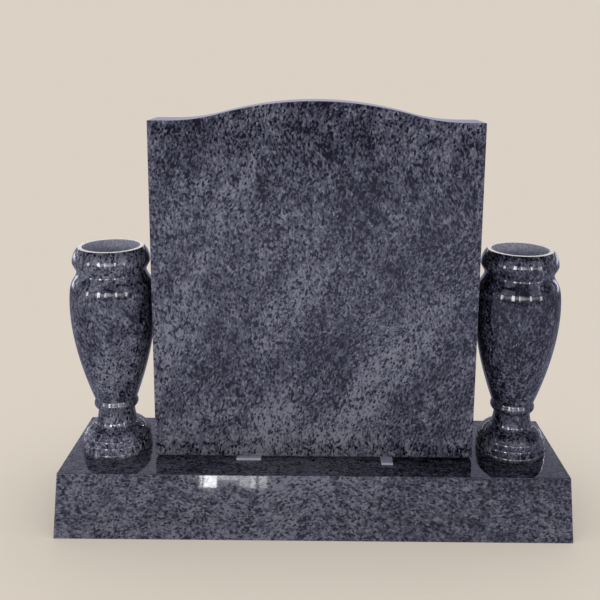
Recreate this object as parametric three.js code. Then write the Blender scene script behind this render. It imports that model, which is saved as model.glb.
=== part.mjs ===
// Upright granite memorial: a serpentine-topped tablet on a sloped-front base, between two turned flower vases.
// Millimetres, +Z up. X runs along the width, the front faces -Y, and the origin is the middle of the underside.
import * as THREE from 'three';

// Base: how far it reaches past the vases' feet at each end, and its other sizes
const BASE_END_MARGIN = 23.5;
const BASE_TOP_DEPTH = 305;
const BASE_HEIGHT = 140;
const FRONT_SLOPE_RUN = 44;
const BASE_ARRIS = 2;

// Bedding gap left where one stone sits on another
const BED = 0.3;

// Tablet
const TABLET_WIDTH = 780;
const TABLET_THICKNESS = 120;
const TABLET_SETBACK = 82;
const SHOULDER_HEIGHT = 824;
const CREST_RISE = 47;
const CROWN_HALF_WIDTH = 225;
const SHOULDER_FLAT = 45;
const TABLET_ARRIS = 1.5;
const CURVE_STEPS = 14;

// Setting strips that hold the tablet clear of the base
const STRIP_THICKNESS = 6;
const STRIP_REAR_SETBACK = 12;
const LEFT_STRIP_WIDTH = 60;
const LEFT_STRIP_OFFSET = 160;
const LEFT_STRIP_PROUD = 11;
const RIGHT_STRIP_WIDTH = 28;
const RIGHT_STRIP_OFFSET = 179;
const RIGHT_STRIP_PROUD = 29;

// Vases: where they stand
const VASE_TABLET_GAP = 7;
const VASE_SETBACK = 150;

// Vases: radii of the turned form, from the foot up
const FOOT_RADIUS = 86.5;
const FOOT_ROUND = 1.8;
const FOOT_STEP = 3;
const NECK_RADIUS = 45;
const BEAD_RADIUS = 53.2;
const BEAD_CREASE = 0.8;
const BODY_RADIUS = 103;
const GROOVE_RADIUS = 83.3;
const COLLAR_RADIUS = 93.5;
const LIP_FALL = 14.5;
const LIP_WIDTH = 10.5;
const MOUTH_CHAMFER = 1.5;

// Vases: rise of each stage, from the foot up
const FOOT_EDGE_RISE = 29;
const FOOT_STEP_RISE = 1.5;
const DOME_RISE = 68.5;
const BEAD_RISE = 26;
const CREASE_RISE = 10;
const BODY_RISE = 233;
const SHOULDER_RISE = 98;
const COLLAR_RISE = 26;
const COLLAR_TOP_RISE = 28;
const BORE_DEPTH = 200;
const BORE_FILLET = 5;
const BODY_FULLNESS = 1.72;
const VASE_SIDES = 36;

// Sizes and places worked out from those above
const VASE_X = TABLET_WIDTH / 2 + VASE_TABLET_GAP + BODY_RADIUS;
const BASE_WIDTH = 2 * (VASE_X + FOOT_RADIUS + BASE_END_MARGIN);
const FRONT_FOOT_Y = -(BASE_TOP_DEPTH + FRONT_SLOPE_RUN) / 2;
const FRONT_TOP_Y = FRONT_FOOT_Y + FRONT_SLOPE_RUN;
const BACK_Y = FRONT_TOP_Y + BASE_TOP_DEPTH;
const TABLET_FRONT_Y = FRONT_TOP_Y + TABLET_SETBACK;
const TABLET_BACK_Y = TABLET_FRONT_Y + TABLET_THICKNESS;
const STRIP_Z = BASE_HEIGHT + BED;
const TABLET_Z = STRIP_Z + STRIP_THICKNESS + BED;
const VASE_Y = FRONT_TOP_Y + VASE_SETBACK;
const VASE_Z = BASE_HEIGHT + BED;

const granite = new THREE.MeshStandardMaterial({ color: 0x4a4a57, roughness: 0.12, metalness: 0 });
const strip = new THREE.MeshStandardMaterial({ color: 0xb9b4ac, roughness: 0.7, metalness: 0 });

function named(name, geometry, material) {
  const mesh = new THREE.Mesh(geometry, material);
  mesh.name = name;
  return mesh;
}

// Base: one block with a level top, an upright back and a front that slopes outwards to the ground
function makeBase() {
  const slope = Math.hypot(FRONT_SLOPE_RUN, BASE_HEIGHT);
  const alongSlope = { y: (FRONT_SLOPE_RUN / slope) * BASE_ARRIS, z: (BASE_HEIGHT / slope) * BASE_ARRIS };
  const side = new THREE.Shape([
    new THREE.Vector2(FRONT_FOOT_Y, 0),
    new THREE.Vector2(BACK_Y, 0),
    new THREE.Vector2(BACK_Y, BASE_HEIGHT - BASE_ARRIS),
    new THREE.Vector2(BACK_Y - BASE_ARRIS, BASE_HEIGHT),
    new THREE.Vector2(FRONT_TOP_Y + BASE_ARRIS, BASE_HEIGHT),
    new THREE.Vector2(FRONT_TOP_Y - alongSlope.y, BASE_HEIGHT - alongSlope.z),
  ]);
  const geometry = new THREE.ExtrudeGeometry(side, {
    depth: BASE_WIDTH - 2 * BASE_ARRIS,
    bevelEnabled: true,
    bevelThickness: BASE_ARRIS,
    bevelSize: BASE_ARRIS,
    bevelOffset: -BASE_ARRIS,
    bevelSegments: 1,
  });
  geometry.translate(0, 0, -(BASE_WIDTH - 2 * BASE_ARRIS) / 2);
  const base = named('base', geometry, granite);
  base.quaternion.setFromRotationMatrix(new THREE.Matrix4().makeBasis(
    new THREE.Vector3(0, 1, 0), new THREE.Vector3(0, 0, 1), new THREE.Vector3(1, 0, 0)));
  return base;
}

// Serpentine top: a convex crown arc and a concave arc that meet in one tangent, then level shoulders
function serpentineHalf() {
  const sweep = TABLET_WIDTH / 2 - SHOULDER_FLAT;
  const angle = 2 * Math.atan(CREST_RISE / sweep);
  const crownRadius = CROWN_HALF_WIDTH / Math.sin(angle);
  const hollowRadius = (sweep - CROWN_HALF_WIDTH) / Math.sin(angle);
  const points = [];
  for (let i = 0; i <= CURVE_STEPS; i++) {
    const a = (angle * i) / CURVE_STEPS;
    points.push([sweep - hollowRadius * Math.sin(a), SHOULDER_HEIGHT + hollowRadius * (1 - Math.cos(a))]);
  }
  for (let i = CURVE_STEPS - 1; i >= 0; i--) {
    const a = (angle * i) / CURVE_STEPS;
    points.push([crownRadius * Math.sin(a), SHOULDER_HEIGHT + CREST_RISE - crownRadius * (1 - Math.cos(a))]);
  }
  return points;
}

function makeTablet() {
  const half = serpentineHalf();
  const other = half.slice(0, -1).reverse().map(([x, z]) => [-x, z]);
  const outline = [
    [-TABLET_WIDTH / 2, 0],
    [TABLET_WIDTH / 2, 0],
    [TABLET_WIDTH / 2, SHOULDER_HEIGHT],
    ...half,
    ...other,
    [-TABLET_WIDTH / 2, SHOULDER_HEIGHT],
  ];
  const face = new THREE.Shape(outline.map(([x, z]) => new THREE.Vector2(x, z)));
  const geometry = new THREE.ExtrudeGeometry(face, {
    depth: TABLET_THICKNESS - 2 * TABLET_ARRIS,
    bevelEnabled: true,
    bevelThickness: TABLET_ARRIS,
    bevelSize: TABLET_ARRIS,
    bevelOffset: -TABLET_ARRIS,
    bevelSegments: 1,
  });
  const tablet = named('tablet', geometry, granite);
  tablet.rotation.x = Math.PI / 2;
  tablet.position.set(0, TABLET_BACK_Y - TABLET_ARRIS, TABLET_Z);
  return tablet;
}

// Setting strips: thin slips that run under the tablet from front to back and show in front of it
function makeStrip(name, x, width, proud) {
  const front = TABLET_FRONT_Y - proud;
  const back = TABLET_BACK_Y - STRIP_REAR_SETBACK;
  const slip = named(name, new THREE.BoxGeometry(width, back - front, STRIP_THICKNESS), strip);
  slip.position.set(x, (front + back) / 2, STRIP_Z + STRIP_THICKNESS / 2);
  return slip;
}

// One stage of a turned profile, from radius a to radius b over a rise, through [height share, radius share]
function stage(a, b, from, rise, shares) {
  return shares.map(([h, s]) => new THREE.Vector2(a + (b - a) * s, from + rise * h));
}

// Vase: a stepped foot that domes in to a waist, a bead, a tapering body, a round shoulder and a rolled collar
function vaseProfile() {
  const stepRadius = FOOT_RADIUS - FOOT_STEP;
  const lipRadius = COLLAR_RADIUS - LIP_FALL;
  const boreRadius = lipRadius - LIP_WIDTH - MOUTH_CHAMFER;
  const points = [new THREE.Vector2(0, 0)];
  let z = 0;
  points.push(...stage(FOOT_RADIUS - FOOT_ROUND, FOOT_RADIUS, z, FOOT_EDGE_RISE,
    [[0, 0], [0.25, 0.8], [0.5, 1], [0.8, 0.8], [1, 0.2]]));
  z += FOOT_EDGE_RISE + FOOT_STEP_RISE;
  points.push(...stage(stepRadius, NECK_RADIUS, z, DOME_RISE,
    [[0, 0], [0.1, -0.012], [0.21, 0.02], [0.24, 0.075], [0.35, 0.153], [0.46, 0.286], [0.57, 0.494],
      [0.68, 0.727], [0.79, 0.89], [0.9, 0.975], [1, 1]]));
  z += DOME_RISE;
  points.push(...stage(NECK_RADIUS, BEAD_RADIUS, z, BEAD_RISE, [[0.25, 0.1], [0.5, 0.45], [0.75, 0.83], [1, 1]]));
  z += BEAD_RISE;
  points.push(...stage(BEAD_RADIUS, BEAD_RADIUS - BEAD_CREASE, z, CREASE_RISE, [[0.5, 0.5], [0.8, 1]]));
  z += CREASE_RISE;
  for (const t of [0, 0.07, 0.15, 0.24, 0.34, 0.45, 0.57, 0.7, 0.84]) {
    const s = 1 - Math.pow(1 - t, BODY_FULLNESS);
    points.push(new THREE.Vector2(BEAD_RADIUS + (BODY_RADIUS - BEAD_RADIUS) * s, z + BODY_RISE * t));
  }
  z += BODY_RISE;
  points.push(...stage(BODY_RADIUS, GROOVE_RADIUS, z, SHOULDER_RISE,
    [[0, 0], [0.2, 0.02], [0.37, 0.09], [0.5, 0.18], [0.6, 0.31], [0.7, 0.5], [0.8, 0.7], [0.87, 0.82],
      [0.94, 0.92], [1, 1]]));
  z += SHOULDER_RISE;
  points.push(...stage(GROOVE_RADIUS, COLLAR_RADIUS, z, COLLAR_RISE,
    [[0.18, 0.14], [0.36, 0.47], [0.56, 0.8], [0.78, 0.96], [1, 1]]));
  z += COLLAR_RISE;
  points.push(...stage(COLLAR_RADIUS, lipRadius, z, COLLAR_TOP_RISE,
    [[0.28, 0.09], [0.5, 0.24], [0.7, 0.45], [0.87, 0.71], [0.97, 0.9], [1, 1]]));
  z += COLLAR_TOP_RISE;
  points.push(
    new THREE.Vector2(boreRadius + MOUTH_CHAMFER, z),
    new THREE.Vector2(boreRadius, z - MOUTH_CHAMFER),
    new THREE.Vector2(boreRadius, z - BORE_DEPTH + BORE_FILLET),
    new THREE.Vector2(boreRadius - BORE_FILLET, z - BORE_DEPTH),
    new THREE.Vector2(0, z - BORE_DEPTH),
  );
  return points;
}

function makeVase(name, x) {
  const vase = named(name, new THREE.LatheGeometry(vaseProfile(), VASE_SIDES), granite);
  vase.rotation.x = Math.PI / 2;
  vase.position.set(x, VASE_Y, VASE_Z);
  return vase;
}

const memorial = new THREE.Group();
memorial.add(
  makeBase(),
  makeTablet(),
  makeStrip('left_strip', -LEFT_STRIP_OFFSET, LEFT_STRIP_WIDTH, LEFT_STRIP_PROUD),
  makeStrip('right_strip', RIGHT_STRIP_OFFSET, RIGHT_STRIP_WIDTH, RIGHT_STRIP_PROUD),
  makeVase('left_vase', -VASE_X),
  makeVase('right_vase', VASE_X),
);

export default memorial;
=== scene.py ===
import math

import bmesh
import bpy
from mathutils import Matrix, Vector


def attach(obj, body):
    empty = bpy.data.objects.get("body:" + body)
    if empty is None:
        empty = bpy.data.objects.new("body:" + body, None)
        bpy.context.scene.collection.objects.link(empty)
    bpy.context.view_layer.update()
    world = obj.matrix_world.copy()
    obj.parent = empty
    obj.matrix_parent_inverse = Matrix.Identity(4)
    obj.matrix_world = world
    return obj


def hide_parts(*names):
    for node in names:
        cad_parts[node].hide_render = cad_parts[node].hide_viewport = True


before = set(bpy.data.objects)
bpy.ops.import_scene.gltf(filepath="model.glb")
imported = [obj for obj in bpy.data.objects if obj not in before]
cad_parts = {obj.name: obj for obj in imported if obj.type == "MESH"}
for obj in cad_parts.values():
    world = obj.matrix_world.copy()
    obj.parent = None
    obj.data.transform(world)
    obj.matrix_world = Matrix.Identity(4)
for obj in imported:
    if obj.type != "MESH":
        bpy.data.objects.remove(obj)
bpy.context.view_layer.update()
scene = bpy.context.scene
MM = 0.001

# ---------------------------------------------------------------- sizes, in millimetres, as in the CAD
BASE_HALF = 610
BASE_HEIGHT = 140
FRONT_FOOT_Y, FRONT_TOP_Y, BACK_Y = -174.5, -130.5, 174.5
BASE_ARRIS, BASE_TOP_ROUND = 2, 2.3

TABLET_HALF = 390
TABLET_FRONT_Y, TABLET_BACK_Y = -48.5, 71.5
TABLET_Z = 146.6
SHOULDER_HEIGHT, CREST_RISE = 824, 47
CROWN_HALF, SHOULDER_FLAT = 225, 45
TABLET_ARRIS, TABLET_CORNER_ROUND = 1.5, 2

VASE_X, VASE_Y, VASE_Z = 500, 19.5, 140.3
VASE_HEIGHT = 520
BODY_LOW, BODY_HIGH, BODY_SWELL = (53.2, 135), (103, 368), 1.72
MOUTH_RADIUS, MOUTH_WALL_TOP, MOUTH_WALL_LOW, MOUTH_FLOOR = 67, 518.5, 325, 320

STRIP_Z, STRIP_THICKNESS = 140.3, 6
STRIP_BACK_GAP, STRIP_ARRIS, STRIP_ROUND = 12, 0.8, 1

# how fine the meshes are: the longest step along a turned profile, and the sides round a vase
PROFILE_STEP, BEAD_STEP, LIP_STEP = 1.5, 0.8, 0.4
VASE_SIDES = 192
MOUTH_WALL_STEPS = 24
ARC_STEPS = 40

# edges that turn by more than this many degrees are shown crisp
SLAB_CRISP, VASE_CRISP = 28, 24
# an outline whose steps are shorter than this is on a round
ROUND_STEP = 1.5


# ---------------------------------------------------------------- geometry
def rounded(points, radii, steps=5):
    """The closed outline with each corner turned into an arc of its own radius, or left sharp where that is 0."""
    out = []
    n = len(points)
    for i, (p, r) in enumerate(zip(points, radii)):
        p = Vector(p)
        if not r:
            out.append(tuple(p))
            continue
        a = (Vector(points[i - 1]) - p).normalized()
        b = (Vector(points[(i + 1) % n]) - p).normalized()
        half = math.acos(max(-1, min(1, a.dot(b)))) / 2
        reach = r / math.tan(half)
        centre = p + (a + b).normalized() * (r / math.sin(half))
        start, end = p + a * reach - centre, p + b * reach - centre
        turn = start.angle_signed(end)
        for k in range(steps + 1):
            s, c = math.sin(-turn * k / steps), math.cos(-turn * k / steps)
            out.append((centre.x + start.x * c - start.y * s, centre.y + start.x * s + start.y * c))
    return out


def inset(points, d):
    """The outline, which runs anticlockwise, moved in by d with mitred corners."""
    out = []
    n = len(points)
    for i, p in enumerate(points):
        p, a, b = Vector(p), Vector(points[i - 1]), Vector(points[(i + 1) % n])
        e, f = (p - a).normalized(), (b - p).normalized()
        m, k = Vector((-e.y, e.x)), Vector((-f.y, f.x))
        out.append(tuple(p + (m + k) * (d / (1 + m.dot(k)))))
    return out


def crisp_edges(bm, degrees):
    for edge in bm.edges:
        if len(edge.link_faces) == 2 and edge.calc_face_angle(0) > math.radians(degrees):
            edge.smooth = False


def as_object(name, bm, materials):
    mesh = bpy.data.meshes.new(name)
    bmesh.ops.recalc_face_normals(bm, faces=bm.faces[:])
    bm.to_mesh(mesh)
    bm.free()
    for m in materials:
        mesh.materials.append(m)
    piece = bpy.data.objects.new(name, mesh)
    scene.collection.objects.link(piece)
    # flat faces keep their own direction, and the small rounds between them turn from one to the next
    weighted = piece.modifiers.new("weighted_normals", "WEIGHTED_NORMAL")
    weighted.mode = "FACE_AREA"
    weighted.weight = 50
    weighted.keep_sharp = True
    return piece


def slab(name, outline, start, end, arris, place, materials, pick, steps=4):
    """A block with that outline between start and end, its edges rubbed to a small round. place turns (u, v, w) into
    a point, w being the way it is extruded, and pick gives a face's material from its middle and its normal."""
    bm = bmesh.new()
    worn_sheen = bm.verts.layers.float.new("worn_sheen")
    rings = []
    for k in range(steps + 1):
        a = math.pi / 2 * k / steps
        on_edge = 1.0 if 0 < k < steps else 0.0
        rings.append((arris * (1 - math.sin(a)), start + arris * (1 - math.cos(a)), on_edge))
    rings += [(d, end - (w - start), on_edge) for d, w, on_edge in reversed(rings)]
    short = [(Vector(p) - Vector(outline[i - 1])).length < ROUND_STEP for i, p in enumerate(outline)]
    on_round = [short[i] and short[(i + 1) % len(outline)] for i in range(len(outline))]
    loops = []
    for k, (d, w, on_edge) in enumerate(rings):
        loop = []
        for (u, v), on_round_corner in zip(inset(outline, d), on_round):
            vert = bm.verts.new(Vector(place(u, v, w)) * MM)
            # the rounded arrises and corners are marked for wear and a painted sheen
            vert[worn_sheen] = max(on_edge, 1.0 if on_round_corner and 0 < k < len(rings) - 1 else 0.0)
            loop.append(vert)
        loops.append(loop)
    for a, b in zip(loops, loops[1:]):
        for i in range(len(a)):
            j = (i + 1) % len(a)
            bm.faces.new((a[i], a[j], b[j], b[i]))
    for cap in (loops[0], loops[-1]):
        bm.faces.new(cap)
    bmesh.ops.recalc_face_normals(bm, faces=bm.faces[:])
    for face in bm.faces:
        face.smooth = True
        face.material_index = pick(face.calc_center_median() / MM, face.normal)
    crisp_edges(bm, SLAB_CRISP)
    return as_object(name, bm, materials)


def spline(points, most=PROFILE_STEP):
    """A centripetal Catmull-Rom curve through the points, in steps of at most that length."""
    pts = [Vector(p) for p in points]
    pts = [pts[0] * 2 - pts[1]] + pts + [pts[-1] * 2 - pts[-2]]
    out = [tuple(pts[1])]
    for i in range(1, len(pts) - 2):
        p0, p1, p2, p3 = pts[i - 1:i + 3]
        t1 = max((p1 - p0).length, 1e-6) ** 0.5
        t2 = t1 + max((p2 - p1).length, 1e-6) ** 0.5
        t3 = t2 + max((p3 - p2).length, 1e-6) ** 0.5
        n = max(2, math.ceil((p2 - p1).length / most))
        for k in range(1, n + 1):
            t = t1 + (t2 - t1) * k / n
            a1 = p0 * ((t1 - t) / t1) + p1 * (t / t1)
            a2 = p1 * ((t2 - t) / (t2 - t1)) + p2 * ((t - t1) / (t2 - t1))
            a3 = p2 * ((t3 - t) / (t3 - t2)) + p3 * ((t - t2) / (t3 - t2))
            b1 = a1 * ((t2 - t) / t2) + a2 * (t / t2)
            b2 = a2 * ((t3 - t) / (t3 - t1)) + a3 * ((t - t1) / (t3 - t1))
            out.append(tuple(b1 * ((t2 - t) / (t2 - t1)) + b2 * ((t - t1) / (t2 - t1))))
    return out


POLISHED, DRILLED, SAWN = 0, 1, 2


def vase_runs():
    """The turned profile as smooth runs of (radius, height) that meet in crisp turns, each with its finish."""
    plinth = [(84.9, 0), (86.3, 2.4), (86.5, 4.5), (86.5, 7.0), (86.2, 9.0), (85.6, 10.4), (85.4, 12.5), (85.6, 18),
              (85.5, 23), (85.0, 26), (84.1, 28.4), (83.1, 29.6)]
    disc = [(82.7, 29.9), (82.9, 33), (82.8, 37.5), (82.2, 41), (81.2, 43.6), (79.8, 45.2)]
    dome = [(79.4, 45.5), (76.6, 49.8), (71.6, 55.2), (64.9, 60.2), (58.2, 63.9), (54.6, 65.4)]
    cove = [(54.6, 65.4), (52.5, 66.8), (50.3, 70.2), (48.9, 74.2), (47.6, 79.2), (46.4, 85.2), (45.4, 92.4),
            (44.9, 98.6), (45.2, 102.6), (46.4, 105.4)]
    bead = [(46.4, 105.4), (48.8, 107.8), (51.7, 111.0), (53.6, 114.4), (54.1, 117.6), (53.7, 121), (52.7, 124.6),
            (51.4, 128.2), (50.5, 131.2)]
    body = [(50.5, 131.2), (51.5, 133.2), (53.6, 136.4)]
    (low_r, low_z), (high_r, high_z) = BODY_LOW, BODY_HIGH
    for t in (0.05, 0.10, 0.16, 0.24, 0.34, 0.45, 0.57, 0.7, 0.84):
        body.append((low_r + (high_r - low_r) * (1 - (1 - t) ** BODY_SWELL), low_z + (high_z - low_z) * t))
    shoulder = [BODY_HIGH, (102.9, 384), (102.3, 400), (101.2, 412), (99.5, 422), (97.0, 431), (93.5, 438.4),
                (89.6, 445.0), (86.9, 450.0), (85.1, 454.0), (84.1, 457.2), (83.6, 459.8)]
    collar = [(83.9, 462.2), (85.3, 466), (88.2, 471.4), (91.2, 476.8), (93.1, 482), (93.5, 486)]
    crown = [(93.3, 489.5), (92.5, 494), (91.1, 499.5), (89.3, 504.3), (87.1, 508.8), (84.5, 513), (81.9, 516.6),
             (80.0, 519), (79, VASE_HEIGHT)]
    lip = [crown[-1], (70.5, VASE_HEIGHT), (68.5, VASE_HEIGHT)]
    lip_edge = [lip[-1], (67.45, 519.55), (MOUTH_RADIUS, MOUTH_WALL_TOP)]
    wall = [(MOUTH_RADIUS, MOUTH_WALL_TOP - (MOUTH_WALL_TOP - MOUTH_WALL_LOW) * k / MOUTH_WALL_STEPS)
            for k in range(MOUTH_WALL_STEPS + 1)]
    heel = [wall[-1], (66.2, 322.2), (64.5, 320.6), (62, MOUTH_FLOOR)]
    return [
        ([(0, 0), (84.7, 0)], SAWN),
        (spline(plinth), POLISHED),
        ([plinth[-1], disc[0]], POLISHED),
        (spline(disc), POLISHED),
        ([disc[-1], dome[0]], POLISHED),
        (spline(dome), POLISHED),
        (spline(cove), POLISHED),
        (spline(bead, BEAD_STEP), POLISHED),
        (spline(body + shoulder + collar + crown), POLISHED),
        (lip, POLISHED),
        (spline(lip_edge, LIP_STEP), DRILLED),
        (wall, DRILLED),
        (spline(heel), DRILLED),
        ([heel[-1], (0, MOUTH_FLOOR)], DRILLED),
    ]


# wear and painted sheen on a vase, paler and duller: the heights of its turned edges and of its bead, how far it
# reaches and how strong it is.
# The bead's entry is no wear: it dulls the bead to spread its highlight and paints it a little paler, a painted
# sheen
VASE_ARRISES = ((1.0, 2.4, 1), (9.2, 1.6, 1), (29.0, 1.8, 1), (44.9, 1.6, 1), (105.4, 1.3, 1), (131.2, 1.3, 1),
                (124.5, 9, 0.6))


def turned(name, x, materials):
    """A vase turned about its upright axis."""
    bm = bmesh.new()
    worn_sheen = bm.verts.layers.float.new("worn_sheen")
    centre = Vector((x, VASE_Y, VASE_Z))

    def ring(r, z):
        if not r:
            return [bm.verts.new((centre + Vector((0, 0, z))) * MM)]
        # the lip's inner edge gets full wear and painted sheen
        on_lip_edge = MOUTH_RADIUS - 1 < r < MOUTH_RADIUS + 2 and z > VASE_HEIGHT - 1
        wear_sheen = max(share * max(0, 1 - abs(z - at) / reach) for at, reach, share in VASE_ARRISES)
        row = []
        for i in range(VASE_SIDES):
            a = 2 * math.pi * i / VASE_SIDES
            vert = bm.verts.new((centre + Vector((r * math.cos(a), r * math.sin(a), z))) * MM)
            vert[worn_sheen] = 1.0 if on_lip_edge else wear_sheen
            row.append(vert)
        return row

    last = None
    for points, look in vase_runs():
        rows = [last if last and i == 0 else ring(*p) for i, p in enumerate(points)]
        for a, b in zip(rows, rows[1:]):
            for i in range(VASE_SIDES):
                j = (i + 1) % VASE_SIDES
                if len(a) == 1:
                    face = bm.faces.new((a[0], b[i], b[j]))
                elif len(b) == 1:
                    face = bm.faces.new((a[i], a[j], b[0]))
                else:
                    face = bm.faces.new((a[i], a[j], b[j], b[i]))
                face.smooth = True
                face.material_index = look
        last = rows[-1]
    bm.normal_update()
    crisp_edges(bm, VASE_CRISP)
    return as_object(name, bm, materials)


# ---------------------------------------------------------------- materials
class Net:
    """Short names for the nodes of one material, or of the world."""

    def __init__(self, owner, output="ShaderNodeOutputMaterial"):
        owner.use_nodes = True
        self.owner = owner
        self.tree = owner.node_tree
        self.tree.nodes.clear()
        self.out = self.node(output)

    def node(self, kind, **props):
        n = self.tree.nodes.new(kind)
        for k, v in props.items():
            setattr(n, k, v)
        return n

    def put(self, socket, value):
        if isinstance(value, bpy.types.NodeSocket):
            self.tree.links.new(value, socket)
        else:
            socket.default_value = value

    def coordinate(self, kind):
        return self.node("ShaderNodeTexCoord").outputs[kind]

    def axes(self, vector):
        n = self.node("ShaderNodeSeparateXYZ")
        self.put(n.inputs[0], vector)
        return n.outputs

    def math(self, op, a, b=0.0, c=0.0, clamp=False):
        n = self.node("ShaderNodeMath", operation=op, use_clamp=clamp)
        for s, v in zip(n.inputs, (a, b, c)):
            self.put(s, v)
        return n.outputs[0]

    def times(self, a, b):
        return self.math("MULTIPLY", a, b)

    def add_times(self, a, b, c, clamp=False):
        """a times b, plus c"""
        return self.math("MULTIPLY_ADD", a, b, c, clamp)

    def add_swing(self, noise, weight, c):
        """c, moved by weight times the noise's swing about its middle"""
        return self.add_times(self.math("SUBTRACT", noise, 0.5), weight, c)

    def vec(self, op, a, b=(0, 0, 0)):
        n = self.node("ShaderNodeVectorMath", operation=op)
        self.put(n.inputs[0], a)
        self.put(n.inputs["Scale" if op == "SCALE" else 1], b)
        return n.outputs["Value" if op == "LENGTH" else 0]

    def place(self, vector, location=(0, 0, 0), rotation=(0, 0, 0)):
        n = self.node("ShaderNodeMapping", vector_type="TEXTURE")
        self.put(n.inputs["Vector"], vector)
        n.inputs["Location"].default_value = location
        n.inputs["Rotation"].default_value = [math.radians(v) for v in rotation]
        return n.outputs[0]

    def noise(self, vector, scale, detail=2.0, rough=0.5, out="Fac"):
        n = self.node("ShaderNodeTexNoise")
        self.put(n.inputs["Vector"], vector)
        n.inputs["Scale"].default_value = scale
        n.inputs["Detail"].default_value = detail
        n.inputs["Roughness"].default_value = rough
        return n.outputs[out]

    def drift(self, vector, scale, reach, detail=2.0, rough=0.5):
        """A random shift, whose swing along each axis is reach."""
        noise = self.noise(vector, scale, detail, rough, "Color")
        return self.vec("MULTIPLY", self.vec("SUBTRACT", noise, (0.5, 0.5, 0.5)), reach)

    def cells(self, vector, scale):
        """The distance from each cell's middle, and three numbers of its own."""
        n = self.node("ShaderNodeTexVoronoi", feature="F1")
        self.put(n.inputs["Vector"], vector)
        n.inputs["Scale"].default_value = scale
        split = self.node("ShaderNodeSeparateColor")
        self.put(split.inputs[0], n.outputs["Color"])
        return n.outputs["Distance"], *split.outputs[:3]

    def span(self, value, a, b, low=0.0, high=1.0, smooth=True):
        n = self.node("ShaderNodeMapRange", interpolation_type="SMOOTHSTEP" if smooth else "LINEAR", clamp=True)
        self.put(n.inputs["Value"], value)
        for key, v in (("From Min", a), ("From Max", b), ("To Min", low), ("To Max", high)):
            self.put(n.inputs[key], v)
        return n.outputs["Result"]

    def ramp(self, value, stops):
        n = self.node("ShaderNodeValToRGB")
        while len(n.color_ramp.elements) < len(stops):
            n.color_ramp.elements.new(0.5)
        for e, (at, colour) in zip(n.color_ramp.elements, stops):
            e.position = at
            e.color = (*colour, 1)
        self.put(n.inputs[0], value)
        return n.outputs[0]

    def mix(self, share, a, b):
        n = self.node("ShaderNodeMix", data_type="RGBA")
        self.put(n.inputs["Factor"], share)
        for name, value in (("A", a), ("B", b)):
            socket = next(s for s in n.inputs if s.name == name and s.type == "RGBA")
            self.put(socket, value if isinstance(value, bpy.types.NodeSocket) else (*value, 1))
        return next(s for s in n.outputs if s.type == "RGBA")

    def bump(self, height, distance, strength):
        n = self.node("ShaderNodeBump")
        n.inputs["Strength"].default_value = strength
        n.inputs["Distance"].default_value = distance
        self.put(n.inputs["Height"], height)
        return n.outputs[0]

    # how far a point lies on a rubbed edge, where wear and a painted sheen are put
    def wear_sheen(self):
        return self.node("ShaderNodeAttribute", attribute_name="worn_sheen").outputs["Fac"]

    def shader(self, kind, **sockets):
        n = self.node(kind)
        for k, v in sockets.items():
            self.put(n.inputs[k.replace("_", " ")], v)
        return n.outputs[0]

    def finish(self, shader):
        self.tree.links.new(shader, self.out.inputs["Surface"])
        return self.owner


# the stone's colours from its darkest to its palest grains
STONE = [
    (0.00, (0.003, 0.003, 0.009)),
    (0.18, (0.010, 0.010, 0.019)),
    (0.36, (0.040, 0.040, 0.057)),
    (0.52, (0.095, 0.095, 0.110)),
    (0.70, (0.150, 0.150, 0.163)),
    (0.86, (0.220, 0.220, 0.222)),
    (1.00, (0.350, 0.350, 0.330)),
]
# RUBBED_SHEEN: the pale colour of rubbed edges, wear and a painted sheen
RUBBED_SHEEN, SAWN_DUST = (0.34, 0.34, 0.37), (0.20, 0.20, 0.225)
DRILL_DUST, DRILL_SHADE = (1.0, 1.0, 1.0), (0.28, 0.28, 0.31)
STONE_IOR = 1.5

# features a metre in each layer of the stone
BEND_SCALE, SWIRL_SCALE, CLOUD_SCALE, BAND_SCALE, VEIN_SCALE = 1.3, 12, 2.6, 10, 9
MOTTLE_SCALE, FINE_SCALE, CRYSTAL_SCALE, CHIP_SCALE = 44, 190, 208, 330
# how many times longer than wide its slow shapes are
BAND_STRETCH, VEIN_STRETCH, MOTTLE_STRETCH = 3.3, 5, 1.5
# how far the layers bend, in metres
BEND_REACH, SWIRL_REACH, RAGGED_REACH = (0.13, 0.12, 0.05), (0.013,) * 3, (0.0034,) * 3
# how far each layer moves the tone, CALM holding back the slow ones, and how the sum is spread at last
CALM = 0.8
CLOUD_WEIGHT, BAND_WEIGHT, MOTTLE_WEIGHT, FINE_WEIGHT = 0.52 * CALM, 0.58 * CALM, 0.66, 1.12
CRYSTAL_WEIGHT, CHIP_WEIGHT = 0.30, 0.22
SPREAD, SINK = 1.12, -0.06
# the share of dark grains, how it follows the layers, and how far dark and pale grains move the tone
DARK_SHARE, DARK_BY_MOTTLE, DARK_BY_BAND, CHIP_SHARE = 0.25, -0.30, -0.35, 0.6
DARK_WEIGHT, PALE_WEIGHT = -0.76, 0.34


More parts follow.
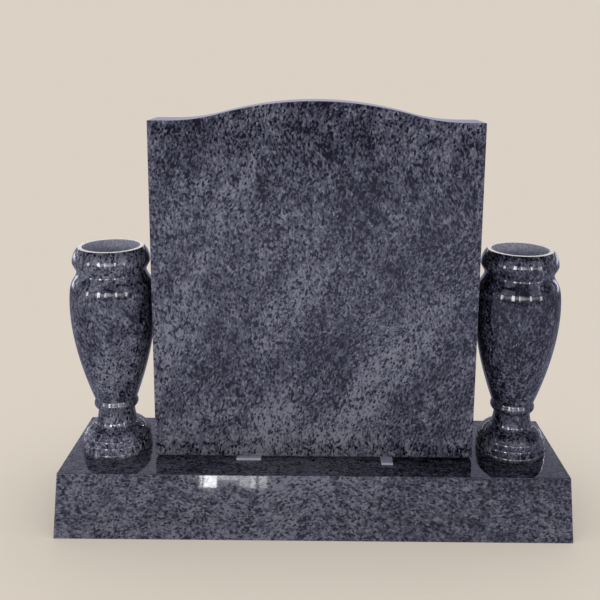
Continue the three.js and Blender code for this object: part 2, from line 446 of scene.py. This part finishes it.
def granite(name, finish, offset, lean, length, level, gloss=0.02, veer=0, vein=0.55, painted_light_patches=(), painted_light_lifts=()):
    """Blue-grey granite. Its grain runs along the leaned z axis and is length times longer than wide, level is its
    middle tone, and finish is polished, honed, sawn or drilled. gloss is the roughness of the polish. Long veins, as
    strong as vein, run veer degrees off the grain. painted_light_patches are painted light and shade: soft clouds,
    each a middle, a reach and how much lighter, or darker below 0. painted_light_lifts are painted light too: clouds
    that make the colour itself brighter, and so keep the contrast."""
    net = Net(bpy.data.materials.new(name))
    position = net.coordinate("Object")
    rock = net.place(position, location=offset, rotation=lean)
    # the rock's flow: slow bends across its length, then small wanderings
    bend = net.drift(net.vec("MULTIPLY", rock, (1.0, 1.2, 2.2)), BEND_SCALE, BEND_REACH, 1.0)
    flow = net.vec("ADD", rock, bend)
    flow = net.vec("ADD", flow, net.drift(flow, SWIRL_SCALE, SWIRL_REACH))
    grain = net.vec("DIVIDE", flow, (1, 1, length))
    grain = net.vec("ADD", grain, net.drift(grain, FINE_SCALE, RAGGED_REACH, 1.0, 0.6))

    cloud = net.noise(rock, CLOUD_SCALE, 1.0)
    bands = net.noise(net.vec("DIVIDE", flow, (1, 1, BAND_STRETCH)), BAND_SCALE, 2.0, 0.55)
    veered = net.place(flow, rotation=(0, veer, 0))
    veins = net.noise(net.vec("DIVIDE", veered, (1, 1, VEIN_STRETCH)), VEIN_SCALE, 1.0)
    mottle = net.noise(net.vec("DIVIDE", flow, (1, 1, MOTTLE_STRETCH)), MOTTLE_SCALE, 1.0, 0.55)
    fine = net.noise(grain, FINE_SCALE, 1.0, 0.6)
    near, pick, tint, other = net.cells(grain, CRYSTAL_SCALE)
    _, chip_pick, chip_tint, _ = net.cells(net.vec("ADD", grain, (0.31, 0.17, 0.23)), CHIP_SCALE)

    tone = level
    for layer, weight in ((cloud, CLOUD_WEIGHT), (bands, BAND_WEIGHT), (veins, vein * CALM), (mottle, MOTTLE_WEIGHT),
                          (fine, FINE_WEIGHT), (tint, CRYSTAL_WEIGHT), (chip_tint, CHIP_WEIGHT)):
        tone = net.add_swing(layer, weight, tone)
    tone = net.add_times(tone, SPREAD, SINK)

    # painted light and shade: a soft cloud round a middle, bent with the rock, from amount at the middle to nothing
    # at reach
    def painted_light_at(middle, reach, amount):
        wander = net.vec("ADD", position, net.vec("SCALE", bend, 0.5))
        far = net.vec("LENGTH", net.vec("DIVIDE", net.vec("SUBTRACT", wander, middle), reach))
        return net.span(far, 1.0, 0.15, 0.0, amount)

    # painted light and shade: each patch lightens the tone, or darkens it, in a soft cloud
    for painted_patch in painted_light_patches:
        tone = net.math("ADD", tone, painted_light_at(*painted_patch))
    # dark mica and hornblende grains, thicker in the dark bands, with small chips between them
    share = net.add_swing(mottle, DARK_BY_MOTTLE, DARK_SHARE)
    share = net.add_swing(bands, DARK_BY_BAND, share)
    dark = net.span(pick, share, net.math("SUBTRACT", share, 0.07))
    dark = net.times(dark, net.span(near, 0.85, 0.45))
    dark = net.math("MAXIMUM", dark, net.times(net.span(chip_pick, 0.15, 0.10), CHIP_SHARE))
    tone = net.add_times(dark, DARK_WEIGHT, tone)
    # pale feldspar grains
    pale = net.times(net.span(other, 0.90, 0.94), net.span(near, 0.6, 0.3))
    tone = net.add_times(pale, PALE_WEIGHT, tone, clamp=True)

    colour = net.ramp(tone, STONE)
    # painted light: each lift brightens the colour in a soft cloud
    for painted_lift in painted_light_lifts:
        colour = net.vec("SCALE", colour, net.math("ADD", painted_light_at(*painted_lift), 1.0))
    if finish == "polished":
        # the edges are rubbed paler and duller, wear with a painted sheen along them, and the dark grains stand a
        # trace lower
        worn_sheen = net.wear_sheen()
        colour = net.mix(net.times(worn_sheen, 0.22), colour, RUBBED_SHEEN)
        rough = net.add_times(worn_sheen, 0.16, net.add_times(dark, 0.02, gloss))
        relief = net.add_times(dark, -0.012, net.times(net.noise(position, 26, 1.0), 0.03))
        normal = net.bump(relief, 0.0004, 0.5)
    else:
        pits = net.noise(position, 520, 2.0, 0.7)
        if finish == "drilled":
            # crushed, dusty stone with rings left by the drill
            speck = net.noise(position, 170, 2.0, 0.6)
            colour = net.mix(0.93, colour, DRILL_DUST)
            colour = net.mix(net.span(speck, 0.40, 0.60, 0.40, 0.0), colour, DRILL_SHADE)
            rings = net.noise(net.vec("MULTIPLY", position, (0.04, 0.04, 1)), 330, 1.0)
            rough = net.span(fine, 0.3, 0.7, 0.72, 0.9)
            normal = net.bump(net.add_times(rings, 0.8, pits), 0.0006, 0.7)
        else:
            # dull stone with faint lines left by the saw
            colour = net.mix(0.30, colour, SAWN_DUST)
            saw = net.noise(net.vec("MULTIPLY", position, (0.15, 1, 1)), 210, 1.0)
            rough = net.span(fine, 0.3, 0.7, 0.42, 0.56)
            normal = net.bump(net.add_times(saw, 0.7, pits), 0.0003, 0.45)
    return net.finish(net.shader("ShaderNodeBsdfPrincipled", Base_Color=colour, Roughness=rough, IOR=STONE_IOR,
                                 Normal=normal))


def strip_stuff():
    """Matt pale strip with soft grime and fine specks."""
    net = Net(bpy.data.materials.new("setting_strip"))
    position = net.coordinate("Object")
    grime = net.noise(position, 60, 3.0, 0.6)
    speck = net.noise(position, 900, 2.0, 0.6)
    colour = net.ramp(net.add_swing(speck, 0.25, grime),
                      [(0.25, (0.68, 0.67, 0.68)), (0.5, (0.84, 0.83, 0.84)), (0.75, (0.95, 0.94, 0.95))])
    # rounded edges paler: wear and a painted sheen
    colour = net.mix(net.times(net.wear_sheen(), 0.25), colour, (0.90, 0.89, 0.90))
    normal = net.bump(net.math("ADD", speck, grime), 0.0002, 0.5)
    return net.finish(net.shader("ShaderNodeBsdfPrincipled", Base_Color=colour,
                                 Roughness=net.span(grime, 0.3, 0.7, 0.55, 0.75), Normal=normal))


TABLET_ROCK = dict(
    offset=(0.4, 0.3, 0.2), lean=(0, 10, 0), length=1.6, veer=20, vein=1.05, level=0.665,
    # painted light and shade: lighter in the middle and low on the left, darker along the top and on the right, as
    # the light falls from the left
    painted_light_patches=[
        ((-0.04, -0.05, 0.60), (0.44, 0.50, 0.38), 0.04),
        ((0.0, -0.05, 1.02), (0.60, 0.40, 0.22), -0.06),
        ((-0.12, -0.05, 0.20), (0.42, 0.30, 0.22), 0.14),
        ((0.30, -0.05, 0.92), (0.22, 0.30, 0.24), -0.14),
        ((0.30, -0.05, 0.25), (0.24, 0.30, 0.20), -0.05),
    ])
BASE_ROCK = dict(
    offset=(1.7, 0.9, 0.4), lean=(0, 86, 0), length=1.5, level=0.835,
    # painted light and shade: the right of the front darker and its middle lighter, and a dark painted shadow and
    # reflection of the tablet on the top in front of it
    painted_light_patches=[
        ((0.42, -0.15, 0.06), (0.34, 0.30, 0.30), -0.23),
        ((-0.05, -0.16, 0.06), (0.32, 0.10, 0.12), 0.08),
        ((-0.18, -0.08, 0.15), (0.28, 0.06, 0.05), -0.16),
        ((0.26, -0.08, 0.15), (0.26, 0.14, 0.05), -0.16),
    ])
LEFT_ROCK = dict(
    offset=(3.1, 2.2, 0.7), lean=(0, -3, 4), length=1.5, level=0.635, gloss=0.075,
    # painted light and shade: darker on the side by the tablet, lighter down the left side, low on the front of the
    # body and round the shoulder and collar
    painted_light_patches=[
        ((-0.400, -0.03, 0.45), (0.045, 0.11, 0.28), -0.34),
        ((-0.57, -0.05, 0.50), (0.05, 0.09, 0.10), 0.12),
        ((-0.51, -0.08, 0.36), (0.06, 0.10, 0.11), 0.26),
        ((-0.51, 0.0, 0.64), (0.17, 0.17, 0.08), 0.32),
    ],
    # painted light: the foot brighter, as if lit from above
    painted_light_lifts=[((-0.51, 0.0, 0.16), (0.24, 0.24, 0.090), 1.1)])
RIGHT_ROCK = dict(
    # its middle tone is set lower than the left vase's, so the whole vase is darker
    offset=(5.3, 1.4, 1.9), lean=(0, -5, 9), length=1.6, level=0.43, gloss=0.075,
    # painted light: the foot and the collar lighter
    painted_light_patches=[
        ((0.51, 0.0, 0.17), (0.16, 0.16, 0.08), 0.33),
        ((0.52, 0.0, 0.64), (0.17, 0.17, 0.08), 0.38),
    ])
SLAB_LOOKS = ("polished", "honed")
VASE_LOOKS = ("polished", "drilled", "sawn")


def looks(name, finishes, rock):
    return [granite(name + "_" + finish, finish, **rock) for finish in finishes]


# ---------------------------------------------------------------- pieces
def serpentine():
    """The tablet's outline, anticlockwise as seen from the front: a crown arc, two hollow arcs, level shoulders."""
    sweep = TABLET_HALF - SHOULDER_FLAT
    angle = 2 * math.atan(CREST_RISE / sweep)
    crown, hollow = CROWN_HALF / math.sin(angle), (sweep - CROWN_HALF) / math.sin(angle)
    half = []
    for i in range(ARC_STEPS + 1):
        a = angle * i / ARC_STEPS
        half.append((sweep - hollow * math.sin(a), SHOULDER_HEIGHT + hollow * (1 - math.cos(a))))
    for i in range(ARC_STEPS - 1, -1, -1):
        a = angle * i / ARC_STEPS
        half.append((crown * math.sin(a), SHOULDER_HEIGHT + CREST_RISE - crown * (1 - math.cos(a))))
    top = half + [(-x, z) for x, z in reversed(half[:-1])]
    corners = [(-TABLET_HALF, 0), (TABLET_HALF, 0), (TABLET_HALF, SHOULDER_HEIGHT), *top,
               (-TABLET_HALF, SHOULDER_HEIGHT)]
    return rounded(corners, [TABLET_CORNER_ROUND] * 3 + [0] * len(top) + [TABLET_CORNER_ROUND])


def by_side(back_at):
    """Back faces and undersides get the second finish, the rest the first."""
    def pick(middle, normal):
        return 1 if (normal.y > 0.9 and middle.y > back_at - 1) or normal.z < -0.9 else 0
    return pick


strip_looks = [strip_stuff()]


def setting_strip(name, x, width, proud):
    half = width / 2
    box = rounded([(-half, 0), (half, 0), (half, STRIP_THICKNESS), (-half, STRIP_THICKNESS)], [STRIP_ROUND] * 4, 3)
    return slab(name, box, TABLET_FRONT_Y - proud, TABLET_BACK_Y - STRIP_BACK_GAP, STRIP_ARRIS,
                lambda u, v, w: (x + u, w, STRIP_Z + v), strip_looks, lambda middle, normal: 0, 3)


tablet = slab("tablet_stone", serpentine(), TABLET_FRONT_Y, TABLET_BACK_Y, TABLET_ARRIS,
              lambda u, v, w: (u, w, TABLET_Z + v), looks("tablet", SLAB_LOOKS, TABLET_ROCK), by_side(TABLET_BACK_Y))
base_side = rounded([(FRONT_FOOT_Y, 0), (BACK_Y, 0), (BACK_Y, BASE_HEIGHT), (FRONT_TOP_Y, BASE_HEIGHT)],
                    [0, 0, BASE_TOP_ROUND, BASE_TOP_ROUND])
base = slab("base_stone", base_side, -BASE_HALF, BASE_HALF, BASE_ARRIS,
            lambda u, v, w: (w, u, v), looks("base", SLAB_LOOKS, BASE_ROCK), by_side(BACK_Y))
left_vase = turned("left_vase_stone", -VASE_X, looks("left_vase", VASE_LOOKS, LEFT_ROCK))
right_vase = turned("right_vase_stone", VASE_X, looks("right_vase", VASE_LOOKS, RIGHT_ROCK))
left_strip = setting_strip("left_setting_strip", x=-160, width=60, proud=11)
right_strip = setting_strip("right_setting_strip", x=179, width=28, proud=29)

for piece, node, slot in ((base, "base", "granite"), (tablet, "tablet", "granite"),
                          (left_vase, "left_vase", "granite"), (right_vase, "right_vase", "granite"),
                          (left_strip, "left_strip", "strip"), (right_strip, "right_strip", "strip")):
    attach(piece, "root")
    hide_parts(node)

# ---------------------------------------------------------------- floor, room and light, in metres
BACKDROP = (0.708, 0.637, 0.558)
COOL, WARM, DUSK = (0.92, 0.93, 1.20), (1.03, 1.00, 0.96), (0.75, 0.80, 1.90)
PAINTED_GLOW_TINT = (0.92, 0.93, 1.28)
FLOOR_RADIUS, FLOOR_SIDES, FLOOR_Z = 90, 96, -0.0005
FLOOR_NEAR, FLOOR_FAR = -12, 3
SHADE_REACH, SHADE_DARKEST = 0.55, 0.30
# the painted glow of the floor, seen only by the polish and the bounced light: dim far in front, a bright pool
# before the memorial, darker near the stone and behind it, from its near side to its far side
PAINTED_FLOOR_GLOW = ((0, 0.22), (0.2, 0.26), (0.467, 0.60), (0.567, 0.78), (0.70, 0.78), (0.76, 0.50), (0.82, 0.30), (0.95, 0.18),
        (1, 0.48))


def make_floor():
    """A plain floor as pale as the backdrop. It glows instead of being lit: the camera sees the backdrop's colour,
    the polish and the bounced light see a painted glow, and a painted soft shadow where the stone meets it dims
    both.
    """
    mesh = bpy.data.meshes.new("studio_floor")
    bm = bmesh.new()
    turns = [2 * math.pi * i / FLOOR_SIDES for i in range(FLOOR_SIDES)]
    bm.faces.new([bm.verts.new((FLOOR_RADIUS * math.cos(a), FLOOR_RADIUS * math.sin(a), FLOOR_Z)) for a in turns])
    bm.to_mesh(mesh)
    bm.free()
    floor = bpy.data.objects.new("studio_floor", mesh)
    scene.collection.objects.link(floor)
    net = Net(bpy.data.materials.new("studio_floor"))
    # painted shadow: the glow dims where the stone hems the floor in
    ao = net.node("ShaderNodeAmbientOcclusion", samples=12)
    ao.inputs["Distance"].default_value = SHADE_REACH
    shade = net.span(ao.outputs["AO"], 0.0, 1.0, SHADE_DARKEST, 1.0, smooth=False)
    seen = net.node("ShaderNodeLightPath").outputs["Is Camera Ray"]
    depth = net.span(net.axes(net.coordinate("Object"))["Y"], FLOOR_NEAR, FLOOR_FAR, smooth=False)
    painted_glow = net.ramp(depth, [(at, [c * v for c in PAINTED_GLOW_TINT]) for at, v in PAINTED_FLOOR_GLOW])
    glow = net.shader("ShaderNodeEmission", Color=net.mix(seen, painted_glow, BACKDROP), Strength=shade)
    mesh.materials.append(net.finish(glow))


make_floor()

# radiance by height above the horizon: soft bands of light low down, and a dim room above them
BEHIND = ((0, 0.50), (0.09, 0.52), (0.105, 0.25), (0.19, 0.25), (0.203, 2.40), (0.240, 2.40), (0.258, 0.30),
          (0.40, 0.32), (0.425, 0.72), (0.50, 0.66), (0.54, 0.30), (0.62, 0.10), (1, 0.04))
FRONT = ((0, 0.55), (0.09, 0.62), (0.118, 0.70), (0.132, 3.3), (0.185, 3.3), (0.205, 1.0), (0.26, 0.70),
         (0.34, 0.28), (0.42, 0.12), (0.55, 0.06), (1, 0.03))
BESIDE = ((0, 0.50), (0.09, 0.60), (0.20, 0.80), (0.26, 0.70), (0.34, 0.28), (0.42, 0.12), (0.55, 0.06), (1, 0.03))
ROOM_STRENGTH = 4.0
LEFT_GAIN = 0.14


def make_room():
    """The room that the polish mirrors, a little brighter on the left. The camera itself sees the plain backdrop."""
    scene.world = bpy.data.worlds.new("studio")
    net = Net(scene.world, "ShaderNodeOutputWorld")
    way = net.axes(net.coordinate("Generated"))

    def glow(stops):
        tinted = [(at, v, WARM if v > 1.5 else COOL if v > 0.12 else DUSK) for at, v in stops]
        return net.ramp(way["Z"], [(at, [v * c / ROOM_STRENGTH for c in tint]) for at, v, tint in tinted])

    facing = net.mix(net.span(way["Y"], -0.90, -0.62), glow(FRONT), glow(BESIDE))
    room = net.mix(net.span(way["Y"], -0.1, 0.75), facing, glow(BEHIND))
    room = net.vec("SCALE", room, net.add_times(way["X"], -LEFT_GAIN, 1.0))
    pick_ray = net.node("ShaderNodeMixShader")
    net.put(pick_ray.inputs[0], net.node("ShaderNodeLightPath").outputs["Is Camera Ray"])
    net.put(pick_ray.inputs[1], net.shader("ShaderNodeBackground", Color=room, Strength=ROOM_STRENGTH))
    net.put(pick_ray.inputs[2], net.shader("ShaderNodeBackground", Color=(*BACKDROP, 1)))
    net.finish(pick_ray.outputs[0])


make_room()


def window(name, x0, x1, z0, z1, radiance, distance=14.0, bearing=0.0):
    """A soft light like a window, seen only in the polish: x0 to x1 across and z0 to z1 high at that distance in
    front of the memorial, or on that bearing in degrees round it towards the viewer's right, turned to face it."""
    x, z = (x0 + x1) / 2, (z0 + z1) / 2
    light = bpy.data.lights.new(name, "AREA")
    light.shape = "RECTANGLE"
    light.size, light.size_y = x1 - x0, z1 - z0
    light.energy = radiance * math.pi * light.size * light.size_y
    light.color = (1.0, 0.99, 1.0) if radiance > 4 else (0.93, 0.94, 1.16)
    lamp = bpy.data.objects.new(name, light)
    turned_round = Matrix.Rotation(math.radians(bearing), 4, "Z")
    facing_it = Matrix.Rotation(math.atan2(x, distance), 4, "Z") @ Matrix.Rotation(math.radians(90), 4, "X")
    lamp.matrix_world = turned_round @ Matrix.Translation((x, -distance, z)) @ facing_it
    lamp.visible_camera = False
    lamp.visible_diffuse = False
    scene.collection.objects.link(lamp)


window("window_sliver", -2.169, -2.113, 1.33, 5.4, 12)
window("window_bright", -2.084, -1.834, 1.33, 5.4, 20)
window("window_upper", -1.804, -1.420, 1.47, 5.0, 7)
window("window_mid", -1.402, -1.182, 1.33, 5.0, 4.5)
window("window_post", -1.182, -1.092, 1.33, 5.0, 8.5)
window("window_pane", -1.032, -0.882, 1.33, 5.0, 5.5)
window("window_broad", -0.80, 1.70, 1.78, 5.0, 2.0)
window("window_wall", -18, 18, 1.80, 4.6, 0.9)
window("window_left", -7.75, -5.65, 1.2, 5.7, 16)
window("window_far_left", -23.5, -20.5, 1.0, 6.0, 12)
window("window_right", 5.15, 6.25, 1.5, 5.4, 14)
window("window_far_right", 15.8, 18.4, 1.3, 5.4, 8)
window("canopy", -3.4, 3.4, 4.0, 10.5, 0.25, distance=8)
window("canopy_left", -11, -3.4, 4.0, 10.5, 1.3, distance=8)
window("canopy_right", 3.4, 11, 4.0, 10.5, 1.3, distance=8)
window("side_left", -1.3, 1.3, 0.02, 1.2, 2.6, distance=8, bearing=-126)
window("side_right", -1.8, 1.6, 0.02, 1.0, 2.0, distance=8, bearing=130)
window("side_right_high", -1.0, 1.0, 3.9, 5.0, 8, distance=8, bearing=146)

# ---------------------------------------------------------------- camera, at the photograph's viewing angle
EYE_AT = (-0.0019, -1.8486, 1.0972)
PITCH_DOWN, YAW, ROLL = 9.969, -0.122, 0.472
camera = bpy.data.cameras.new("camera")
camera.sensor_width = 36
camera.lens = 47.07
camera.shift_x = -0.0226
camera.shift_y = -0.1609
camera.clip_end = 500
eye = bpy.data.objects.new("camera", camera)
pitch, yaw, roll = (math.radians(v) for v in (PITCH_DOWN, YAW, ROLL))
forward = Vector((math.sin(yaw) * math.cos(pitch), math.cos(yaw) * math.cos(pitch), -math.sin(pitch)))
right = Vector((math.cos(yaw), -math.sin(yaw), 0))
up = right.cross(forward)
side = right * math.cos(roll) + up * math.sin(roll)
top = up * math.cos(roll) - right * math.sin(roll)
eye.matrix_world = Matrix.Translation(EYE_AT) @ Matrix((side, top, -forward)).transposed().to_4x4()
scene.collection.objects.link(eye)
scene.camera = eye
scene.view_settings.view_transform = "Standard"
